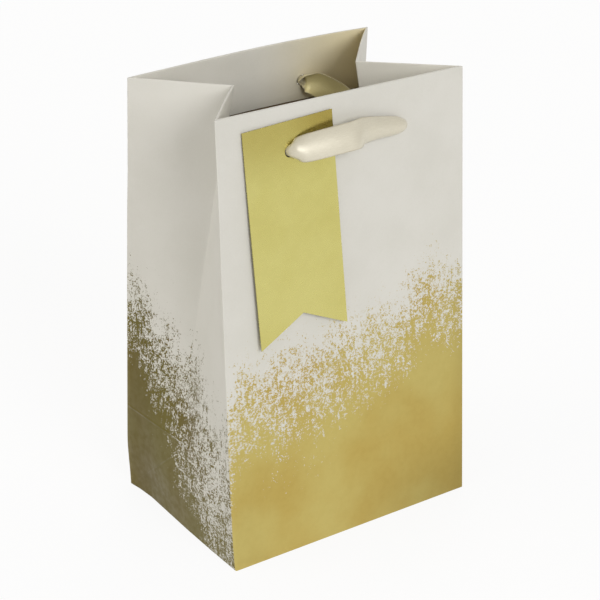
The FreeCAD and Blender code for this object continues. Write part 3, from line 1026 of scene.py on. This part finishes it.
def foil_spatter() -> bpy.types.NodeTree:
    """Return the group for the foil print: solid at the foot, breaking up into fleck and dust.

    A curve round the sheet gives the height at which half the paper shows, and the share of foil falls evenly
    over a band about it.  Slow clouds and upright streaks shift the share, and a noise of clumps, flecks
    and specks is foil wherever it stands above a level that the share sets.  A second curve keeps the share
    low beside the seam, and lower still just above the floor.
    """
    tree, g, given, result = node_group("foil_spatter", {"Flat": "NodeSocketVector"}, ["Foil", "Share"])
    flat = given["Flat"]
    split = g.add("ShaderNodeSeparateXYZ", {0: flat})
    around = g.math("DIVIDE", split.outputs[0], ROUND)
    half = g.curve(around, [(0.0, 0.30), (0.018, 0.37), (0.058, 0.39), (0.11, 0.395), (0.145, 0.405),
                            (0.18, 0.405), (0.214, 0.435), (0.235, 0.465), (0.249, 0.50), (0.265, 0.47),
                            (0.29, 0.455), (0.36, 0.4), (0.5, 0.37), (0.65, 0.36), (0.74, 0.41),
                            (0.79, 0.455), (0.811, 0.45), (0.827, 0.41), (0.857, 0.36), (0.887, 0.345),
                            (0.917, 0.35), (0.947, 0.315), (0.977, 0.285), (1.0, 0.28)])
    cap = g.curve(around, [(0.0, 0.88), (0.02, 0.98), (0.045, 0.9), (0.1, 0.9), (0.14, 1.0), (0.5, 1.0),
                           (0.8, 1.0), (0.857, 0.95), (0.887, 0.88), (0.917, 0.8), (0.947, 0.6),
                           (0.977, 0.53), (1.0, 0.58)])
    low = g.times(g.ramp(split.outputs[1], 0.006, 0.02), g.ramp(split.outputs[1], 0.05, 0.03))
    bare = g.times(low, g.ramp(around, 0.875, 0.905, 0.0, 0.2))
    cap = g.times(cap, g.minus(1.0, bare))
    below = g.minus(g.times(half, 0.2), split.outputs[1])
    band = g.curve(g.plus(g.times(below, 9.5), 0.5),
                   [(0.0, 0.0), (0.16, 0.02), (0.3, 0.17), (0.42, 0.40), (0.5, 0.56), (0.6, 0.66),
                    (0.7, 0.80), (0.8, 0.965), (0.88, 1.04), (1.0, 1.12)])
    band = g.times(band, cap)
    cloud = g.minus(g.noise(g.place(flat, (1.0, 0.7, 1)), 95, 3, 0.55), 0.5)
    streak = g.minus(g.noise(g.place(flat, (620, 85, 1)), 1, 2, 0.5), 0.5)
    middle = g.times(g.ramp(band, 0.0, 0.3), g.ramp(band, 1.06, 0.7))
    stir = g.times(g.plus(g.times(cloud, 0.8), g.times(streak, 0.7)), middle)
    share = g.plus(band, stir)
    clump = g.noise(g.place(flat, (340, 270, 1), (1.3, 6.1, 0)), 1, 2, 0.5)
    fleck = g.noise(g.place(flat, (960, 840, 1), (3.7, 1.9, 0)), 1, 2, 0.5)
    speck = g.noise(g.place(flat, (2200, 2000, 1), (8.1, 5.3, 0)), 1, 1, 0.5)
    fine = g.plus(g.times(fleck, 0.46), g.times(speck, 0.44))
    rank = g.minus(g.plus(fine, g.times(clump, 0.34)), 0.62)
    lack = g.minus(0.5, share)
    level = g.times(lack, g.plus(g.times(g.times(lack, lack), 1.15), 0.2))
    over = g.minus(rank, level)
    printed = g.times(g.ramp(over, -0.02, 0.02), g.math("GREATER_THAN", below, -0.048))
    g.feed(result["Foil"], printed)
    g.feed(result["Share"], share)
    return tree


def fold_wear() -> bpy.types.NodeTree:
    """Return the group for the creases that folding flat leaves on the gussets.

    On each gusset two creases rise from the foot's corners to one point and a level crease crosses just
    above.  Each line's height is a narrow ridge of the distance to it, and its wear is broken by noise.
    """
    marks = ["Height", "Wear", "Foot"]
    tree, g, given, result = node_group("fold_wear", {"Flat": "NodeSocketVector"}, marks)
    flat = given["Flat"]
    split = g.add("ShaderNodeSeparateXYZ", {0: flat})
    up = g.times(split.outputs[1], 1000.0)
    width, crease, knee = 91.0, 43.0, 36.0  # millimetres: the gusset's width and the creases' heights

    def gusset(start: float) -> tuple:
        """Wire one gusset's creases.

        Args:
            start: Where the gusset starts round the sheet, in millimetres.

        Returns:
            The ridges, their wear, and a mask of the triangle below the creases.
        """
        across = g.minus(g.times(split.outputs[0], 1000.0), start)
        inside = g.times(g.math("GREATER_THAN", across, 0.4), g.math("LESS_THAN", across, width - 0.4))
        from_first = g.minus(g.times(across, 0.8), up)
        from_last = g.minus(g.times(g.minus(width, across), 0.8), up)
        tent = g.math("MINIMUM", from_first, from_last)
        off = g.math("ABSOLUTE", tent)
        off_level = g.math("ABSOLUTE", g.minus(up, crease))
        off_middle = g.math("ABSOLUTE", g.minus(across, width / 2))
        ridge = g.times(g.ramp(off, 1.1, 0.0), g.ramp(up, 40.0, 34.0))
        level = g.ramp(off_level, 1.0, 0.0)
        lines = g.times(g.math("MAXIMUM", ridge, g.times(level, 0.7)), inside)
        foot = g.times(g.ramp(tent, -0.5, 0.5), inside)
        near = g.plus(off_middle, g.times(g.math("ABSOLUTE", g.minus(up, knee)), 0.9))
        worn = g.times(g.ramp(off, 1.3, 0.1), g.ramp(near, 30.0, 4.0, 0.0, 0.62))
        worn = g.math("MAXIMUM", worn, g.ramp(near, 8.0, 1.0, 0.0, 0.54))
        flat_line = g.times(g.ramp(off_level, 0.7, 0.1), g.ramp(off_middle, 16.0, 4.0, 0.0, 0.62))
        return lines, g.times(g.math("MAXIMUM", worn, flat_line), inside), foot

    first, second = gusset(126.0), gusset(343.0)
    chips = g.noise(g.place(flat, (1000, 1000, 1)), 1, 3, 0.7)
    wear = g.math("MAXIMUM", first[1], second[1])
    g.feed(result["Height"], g.math("MAXIMUM", first[0], second[0]))
    g.feed(result["Wear"], g.ramp(g.plus(wear, chips), 1.08, 1.16))
    g.feed(result["Foot"], g.math("MAXIMUM", first[2], second[2]))
    return tree


class Finish:
    """A material on its own node tree."""

    name = "finish"

    def build(self) -> bpy.types.Material:
        """Make the material, with one principled shader fed by what the finish wires.

        Returns:
            The material.
        """
        material = bpy.data.materials.new(self.name)
        material.use_nodes = True
        material.node_tree.nodes.clear()
        graph = Graph(material.node_tree)
        shader = graph.add("ShaderNodeBsdfPrincipled")
        output = graph.add("ShaderNodeOutputMaterial")
        graph.feed(output.inputs["Surface"], shader.outputs[0])
        for name, value in self.wire(graph).items():
            graph.feed(shader.inputs[name], value)
        return material

    def wire(self, g: Graph) -> dict:
        """Return a link source or a constant for each shader input; each finish does this its own way."""
        raise NotImplementedError

    @staticmethod
    def use(g: Graph, group: bpy.types.NodeTree,
            place: bpy.types.NodeSocket) -> bpy.types.bpy_prop_collection:
        """Place a shared group in a material.

        Args:
            g: The material's graph.
            group: The shared group.
            place: The coordinates it reads.

        Returns:
            The group's outputs.
        """
        node = g.add("ShaderNodeGroup")
        node.node_tree = group
        g.feed(node.inputs[0], place)
        return node.outputs


def tint(red: int, green: int, blue: int) -> tuple:
    """Return the linear colour of three display values from 0 to 255, with full alpha."""
    values = [c / 255 for c in (red, green, blue)]
    return (*(c / 12.92 if c <= 0.04045 else ((c + 0.055) / 1.055) ** 2.4 for c in values), 1.0)


class Grained(Finish):
    """A finish that places the shared groups in its own material."""

    def __init__(self, groups: dict) -> None:
        """Keep the shared groups."""
        self.groups = groups


class Foil(Grained):
    """What the printed sheet and the folded foot share: gold foil on uncoated paper."""

    @staticmethod
    def gold(g: Graph, place: bpy.types.NodeSocket, shade: tuple) -> bpy.types.NodeSocket:
        """Drift the foil's gold between two tones.

        Args:
            g: The material's graph.
            place: Object coordinates.
            shade: A factor for red, green and blue, each a source or a constant.

        Returns:
            The colour, each channel dimmed by its own factor.
        """
        drift = g.ramp(g.noise(place, 22, 3, 0.5), 0.35, 0.65)
        warm = g.mix(drift, tint(208, 190, 113), tint(200, 175, 95))
        dim = g.add("ShaderNodeCombineColor", dict(enumerate(shade))).outputs[0]
        return g.mix(1.0, warm, dim, "MULTIPLY")

    @staticmethod
    def sheen(g: Graph, place: bpy.types.NodeSocket) -> bpy.types.NodeSocket:
        """Return the foil's uneven roughness."""
        return g.ramp(g.noise(place, 320, 3, 0.6), 0.3, 0.7, 0.34, 0.5)

    @staticmethod
    def tooth(g: Graph, grain: bpy.types.bpy_prop_collection) -> bpy.types.NodeSocket:
        """Return the normal of the paper's tooth."""
        return g.bump(grain["Height"], 0.16, 0.00006)


class PrintedPaper(Foil):
    """Foil-printed matt paper worn along its folds; plain paper inside, brown below the hem, with painted
    shade there and at the back right fold.
    """

    name = "printed_paper_finish"

    def wire(self, g: Graph) -> dict:
        """Mix paper and foil by the spatter, with grain, foil unevenness and crease ridges as bump."""
        place = g.add("ShaderNodeTexCoord").outputs["Object"]
        flat = g.add("ShaderNodeUVMap", uv_map="flat").outputs[0]
        split = g.add("ShaderNodeSeparateXYZ", {0: flat})
        around = g.math("DIVIDE", split.outputs[0], ROUND)
        grain = self.use(g, self.groups["grain"], place)
        spatter = self.use(g, self.groups["spatter"], flat)
        folds = self.use(g, self.groups["folds"], flat)
        printed = g.add("ShaderNodeAttribute", attribute_name="printed").outputs["Fac"]
        outer = g.math("GREATER_THAN", printed, 0.5)

        tone = g.ramp(grain["Tone"], 0.35, 0.65)
        white = g.mix(tone, tint(216, 214, 206), tint(221, 219, 212))
        # Painted shade: inside, above the hem's edge, the paper is a touch warm all round and turns warmer
        # towards the back right fold, standing in for the warm shade in that corner.
        warm = g.mix(tone, tint(218, 207, 172), tint(224, 213, 180))
        painted_corner_warmth = g.times(g.ramp(around, 0.65, 0.515), g.ramp(around, 0.43, 0.5))
        cream = g.mix(g.plus(g.times(painted_corner_warmth, 0.9), 0.1), white, warm)
        # Painted shade: below the hem's edge the inside paper is brown, darkened to stand in for the shade
        # under the hem.
        brown_and_painted_shade = g.mix(tone, tint(112, 92, 64), tint(126, 104, 74))
        hem_edge = 0.1714
        inner = g.mix(g.math("GREATER_THAN", split.outputs[1], hem_edge), brown_and_painted_shade, cream)
        paper = g.mix(outer, inner, white)

        wear = g.times(folds["Wear"], outer)
        foil = g.times(g.times(spatter["Foil"], outer), g.minus(1.0, wear))
        # Painted shade: on the left gusset the gold is dimmed to about a quarter and its blue is cut further,
        # so that foil looks as dark and olive as foil mirroring shade. On the front the gold is dimmed less,
        # and a little more towards its lower right.
        shade = g.curve(around, [(0.0, 0.92), (0.12, 0.9), (0.27, 0.86), (0.29, 0.8), (0.5, 0.8),
                                 (0.785, 0.7), (0.795, 0.24), (0.9, 0.25), (1.0, 0.26)])
        corner = g.times(g.ramp(around, 0.12, 0.28), g.ramp(split.outputs[1], 0.04, 0.002))
        corner = g.times(corner, g.math("LESS_THAN", around, 0.2903))
        shade = g.times(shade, g.minus(1.0, g.times(corner, 0.22)))
        blue = g.times(shade, g.ramp(around, 0.785, 0.795, 1.0, 0.74))
        colour = g.mix(foil, paper, self.gold(g, place, (shade, shade, blue)))
        colour = g.mix(g.times(wear, 0.8), colour, tint(228, 226, 216))
        rough = g.add("ShaderNodeMix", {0: foil, 2: 0.82, 3: self.sheen(g, place)})

        puddle = g.times(g.noise(place, 130, 3, 0.5), foil)
        bump = g.bump(puddle, 0.25, 0.0004, self.tooth(g, grain))
        lift = g.times(g.plus(folds["Height"], g.times(folds["Foot"], 0.25)), outer)
        return {"Base Color": colour, "Metallic": g.times(foil, 0.92), "Roughness": rough.outputs[0],
                "Normal": g.bump(lift, 0.4, 0.0006, bump)}


class PrintedFoot(Foil):
    """The glued foot flaps, wholly covered with foil."""

    name = "printed_foot_finish"

    def wire(self, g: Graph) -> dict:
        """Cover the paper with foil, with the same drift, sheen and tooth as the walls."""
        place = g.add("ShaderNodeTexCoord").outputs["Object"]
        grain = self.use(g, self.groups["grain"], place)
        puddle = g.noise(place, 130, 3, 0.5)
        return {"Base Color": self.gold(g, place, (0.8, 0.8, 0.8)), "Metallic": 0.92,
                "Roughness": self.sheen(g, place),
                "Normal": g.bump(puddle, 0.25, 0.0004, self.tooth(g, grain))}


class GreyBoard(Grained):
    """Grey recycled board with flecks."""

    name = "grey_board_finish"

    def wire(self, g: Graph) -> dict:
        """Colour the board by its grain, with dark and pale flecks."""
        place = g.add("ShaderNodeTexCoord").outputs["Object"]
        grain = self.use(g, self.groups["grain"], place)
        base = g.mix(g.ramp(grain["Tone"], 0.3, 0.7), tint(168, 160, 146), tint(190, 183, 170))
        fleck = g.add("ShaderNodeTexVoronoi", {"Vector": place, "Scale": 420.0})
        lot = g.add("ShaderNodeSeparateColor", {0: fleck.outputs["Color"]})
        chosen = g.math("LESS_THAN", lot.outputs[0], 0.14)
        dark = g.times(g.ramp(fleck.outputs["Distance"], 0.25, 0.1), chosen)
        return {"Base Color": g.mix(dark, base, tint(120, 112, 98)), "Roughness": 0.9,
                "Normal": g.bump(grain["Height"], 0.3, 0.0001)}


class Satin(Finish):
    """Cream satin: long floats along the ribbon, a corded edge on each side, a sheen, and tails painted
    brighter and yellower as warm light.
    """

    name = "cream_satin_finish"

    def wire(self, g: Graph) -> dict:
        """Ridge the surface with threads and light it along the warp."""
        flat = g.add("ShaderNodeUVMap", uv_map="flat").outputs[0]
        split = g.add("ShaderNodeSeparateXYZ", {0: flat})
        threads = g.noise(g.place(flat, (260, 9000, 1)), 1, 3, 0.6)
        cross = g.noise(g.place(flat, (5200, 900, 1)), 1, 2, 0.5)
        weave = g.plus(g.times(threads, 0.7), g.times(cross, 0.3))
        edge = g.ramp(g.math("ABSOLUTE", split.outputs[1]), 0.0052, 0.0058)
        rib = g.times(g.math("SINE", g.times(split.outputs[0], 11000.0)), edge)
        thread = g.ramp(weave, 0.35, 0.65)
        fresh = g.mix(thread, tint(213, 206, 186), tint(225, 219, 200))
        # Painted light: the tails, which stay inside the bag, are a brighter, yellower cream than the outside
        # stretch, standing in for the warm light bounced about inside.
        tail_painted_warm_light = g.mix(thread, tint(240, 226, 162), tint(248, 236, 176))
        rise, fall = (0.086, 0.094), (0.160, 0.152)  # where the outside stretch starts and ends, in metres
        out = g.times(g.ramp(split.outputs[0], *rise), g.ramp(split.outputs[0], *fall))
        tone = g.mix(out, tail_painted_warm_light, fresh)
        tangent = g.add("ShaderNodeTangent", direction_type="UV_MAP", uv_map="flat")
        height = g.plus(weave, g.times(rib, 0.4))
        return {"Base Color": g.mix(g.times(edge, 0.5), tone, tint(206, 196, 172)), "Roughness": 0.38,
                "Metallic": 0.15, "Anisotropic": 0.5, "Anisotropic Rotation": 0.25,
                "Specular IOR Level": 0.65, "Sheen Weight": 0.25, "Sheen Roughness": 0.4,
                "Tangent": tangent.outputs[0],
                "Normal": g.bump(height, 0.3, 0.00008)}


class FoilCard(Finish):
    """Smooth pale gold foil on card, with a soft unevenness."""

    name = "gold_foil_card_finish"

    def wire(self, g: Graph) -> dict:
        """Darken the foil towards the top of the card as a painted dark reflection, and roughen it slightly.
        """
        place = g.add("ShaderNodeTexCoord").outputs["Object"]
        flat = g.add("ShaderNodeUVMap", uv_map="flat").outputs[0]
        cloud = g.noise(place, 38, 3, 0.5)
        colour = g.mix(g.ramp(cloud, 0.3, 0.7), tint(212, 204, 128), tint(206, 197, 119))
        split = g.add("ShaderNodeSeparateXYZ", {0: flat})
        # Painted reflection: the foil darkens towards the top of the card, and more at its top right beside
        # the ribbon, standing in for the ribbon and shade it mirrors there.
        painted_dark_reflection = g.ramp(split.outputs[1], -0.016, 0.012, 0.0, 0.52)
        painted_dark_reflection = g.plus(painted_dark_reflection, g.times(g.ramp(split.outputs[0], -0.004, 0.018),
                                          g.ramp(split.outputs[1], 0.0, 0.009, 0.0, 0.42)))
        colour = g.mix(painted_dark_reflection, colour, tint(170, 152, 78))
        bump = g.bump(g.noise(place, 60, 2, 0.5), 0.12, 0.0003)
        return {"Base Color": colour, "Metallic": 1.0,
                "Roughness": g.ramp(g.noise(flat, 260, 3, 0.6), 0.3, 0.7, 0.25, 0.31),
                "Normal": g.bump(g.noise(place, 2200, 2, 0.6), 0.02, 0.00002, bump)}


# ---- Studio ------------------------------------------------------


@dataclass(frozen=True)
class StudioSizes:
    """Where the camera and the lights stand, in metres and radians."""

    eye: tuple = (-0.43644, -0.61860, 0.44057)
    azimuth: float = 0.6167945
    elevation: float = 0.4288189
    roll: float = 0.0043510
    lens: float = 112.6
    floor: float = 9.0
    sky: float = 0.42


@dataclass(frozen=True)
class Lamp:
    """A broad distant lamp: the way to it, its strength, its width in degrees and its colour."""

    name: str
    toward: tuple
    strength: float
    width: float
    colour: tuple


LAMPS = (Lamp("front_lamp", (-0.04, -1.0, 0.42), 1.47, 30.0, (1.0, 1.0, 1.0)),
         Lamp("left_lamp", (-1.0, 0.32, 0.5), 0.93, 50.0, (1.0, 0.97, 0.91)),
         Lamp("back_lamp", (0.9, 1.0, 0.36), 0.85, 40.0, (1.0, 0.99, 0.96)))


class Studio:
    """A pale floor under a soft sky with broad lamps in front, at the left and behind."""

    def __init__(self, sizes: StudioSizes = StudioSizes()) -> None:
        """Keep the places of the camera and the lights."""
        self.sizes = sizes

    def floor(self) -> None:
        """Lay the floor."""
        half = self.sizes.floor / 2
        low = -2e-5  # just under the bag's own foot
        corners = np.array([[-half, -half, low], [half, -half, low], [half, half, low], [-half, half, low]])
        floor = build_object("studio_floor", corners, np.array([[0, 1, 2, 3]]))
        material = bpy.data.materials.new("studio_floor_finish")
        material.use_nodes = True
        material.node_tree.nodes.clear()
        g = Graph(material.node_tree)
        path = g.add("ShaderNodeLightPath").outputs
        mirrored = g.math("MAXIMUM", path["Is Glossy Ray"], path["Is Transmission Ray"])
        seen = g.math("MAXIMUM", path["Is Camera Ray"], mirrored)
        colour = g.mix(seen, (0.8, 0.8, 0.795, 1), (1.0, 1.0, 1.0, 1))
        matt = g.add("ShaderNodeBsdfDiffuse", {"Color": colour})
        white = g.add("ShaderNodeEmission", {"Color": (1, 1, 1, 1), "Strength": 1.0})
        mix = g.add("ShaderNodeMixShader", {0: g.times(seen, 0.9), 1: matt.outputs[0], 2: white.outputs[0]})
        g.feed(g.add("ShaderNodeOutputMaterial").inputs["Surface"], mix.outputs[0])
        floor.data.materials.append(material)

    def lights(self) -> None:
        """Set the sky and the broad lamps."""
        world = bpy.data.worlds.new("studio_sky")
        world.use_nodes = True
        sky = world.node_tree.nodes["Background"]
        sky.inputs["Color"].default_value = (1.0, 0.98, 0.94, 1)
        sky.inputs["Strength"].default_value = self.sizes.sky
        bpy.context.scene.world = world
        for lamp in LAMPS:
            light = bpy.data.lights.new(lamp.name, "SUN")
            light.energy = lamp.strength
            light.angle = math.radians(lamp.width)
            light.color = lamp.colour
            x, y, z = lamp.toward
            holder = bpy.data.objects.new(lamp.name, light)
            holder.rotation_euler = (math.atan2(math.hypot(x, y), z), 0, math.atan2(x, -y))
            bpy.context.scene.collection.objects.link(holder)

    def camera(self) -> None:
        """Stand the camera where the bag shows its front and left side from above."""
        s = self.sizes
        az, el = s.azimuth, s.elevation
        right = np.array([math.cos(az), -math.sin(az), 0])
        up = np.array([math.sin(az) * math.sin(el), math.cos(az) * math.sin(el), math.cos(el)])
        back = np.array([-math.sin(az) * math.cos(el), -math.cos(az) * math.cos(el), math.sin(el)])
        across = right * math.cos(s.roll) + up * math.sin(s.roll)
        upward = up * math.cos(s.roll) - right * math.sin(s.roll)
        data = bpy.data.cameras.new("camera")
        data.lens, data.sensor_width = s.lens, 36.0
        data.clip_start = 0.02
        camera = bpy.data.objects.new("camera", data)
        frame_axes = np.eye(4)
        frame_axes[:3, :3] = np.stack([across, upward, back], 1)
        frame_axes[:3, 3] = s.eye
        camera.matrix_world = Matrix(frame_axes.tolist())
        bpy.context.scene.collection.objects.link(camera)
        bpy.context.scene.camera = camera

    def build(self) -> None:
        """Set the whole studio."""
        self.floor()
        self.lights()
        self.camera()
        bpy.context.scene.view_settings.view_transform = "Standard"


# ---- The whole bag -----------------------------------------------


class GiftBag:
    """The bag, its ribbons, its tag and their finishes."""

    FLAPS = ("bottom_flap_back", "bottom_flap_front", "bottom_flap_left", "bottom_flap_right")

    def __init__(self) -> None:
        """Read the sizes from the frame."""
        self.sizes = BagSizes.from_frame()

    @staticmethod
    def paint(piece: bpy.types.Object, material: bpy.types.Material) -> None:
        """Put one material in every slot of a piece."""
        if not piece.data.materials:
            piece.data.materials.append(material)
        for index in range(len(piece.data.materials)):
            piece.data.materials[index] = material

    def build(self) -> list:
        """Make every piece and give it its finish.

        Returns:
            The pieces in the order they were made.
        """
        groups = {"grain": paper_grain(), "spatter": foil_spatter(), "folds": fold_wear()}
        paper, foot = PrintedPaper(groups).build(), PrintedFoot(groups).build()
        board, satin, foil = GreyBoard(groups).build(), Satin().build(), FoilCard().build()
        sheet = BagSheet(self.sizes)
        dressed = [(sheet, paper), (GiftTag(self.sizes), foil), (FloorPiece("base_board", sheet), board)]
        dressed += [(FloorPiece(name, sheet), foot) for name in self.FLAPS]
        dressed += [(TopBoard(side, sheet), board) for side in Side]
        dressed += [(HandleRibbon(side, sheet), satin) for side in Side]
        dressed += [(RibbonKnot(side, end), satin) for side in Side for end in End]
        pieces = []
        for maker, material in dressed:
            piece = maker.build()
            self.paint(piece, material)
            pieces.append(piece)
        return pieces


def main() -> None:
    """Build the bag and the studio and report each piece."""
    logging.basicConfig(level=logging.INFO, format="%(message)s")
    for piece in GiftBag().build():
        mesh = piece.data
        LOG.info("%s: %d points, %d faces, %s", piece.name, len(mesh.vertices), len(mesh.polygons),
                 mesh.materials[0].name)
    Studio().build()


if __name__ == "__main__":
    main()
